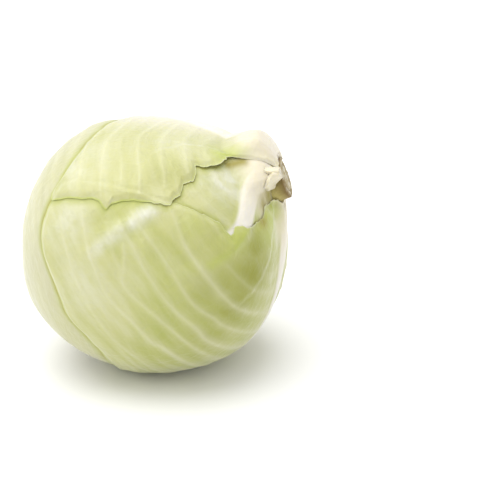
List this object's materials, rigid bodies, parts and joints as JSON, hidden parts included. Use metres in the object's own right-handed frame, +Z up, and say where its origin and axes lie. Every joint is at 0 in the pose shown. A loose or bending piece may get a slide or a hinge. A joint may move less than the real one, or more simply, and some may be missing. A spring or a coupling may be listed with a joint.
{
  "type": "cabbage head",
  "caption": "White cabbage head lying on its side, with wrapper leaves, thick white midribs and a cut stump; rests on a small flat spot.",
  "frame": {"origin": "centre of the flat spot that the head rests on", "axes": "+Z up from the surface it rests on; +X towards the side where the cut stem points, 29 degrees up; -Y is the side the picture shows"},
  "size_m": [0.1765, 0.173, 0.1597],
  "materials": {
    "heart_leaf": "pale waxy inner leaf",
    "wrapper_leaf": "waxy pale green leaf with white ribs and veins",
    "petiole": "cream leaf stalk, broken off",
    "cut_stem": "dry browned cut"
  },
  "bodies": {
    "root": {"heart": "heart_leaf", "lower_back_leaf": "wrapper_leaf", "ribbed_leaf": "wrapper_leaf", "back_leaf": "wrapper_leaf", "front_leaf": "wrapper_leaf", "top_leaf": "wrapper_leaf", "front_petiole_stub": "petiole", "back_petiole_stub": "petiole", "stump": "cut_stem"}
  },
  "joints": []
}
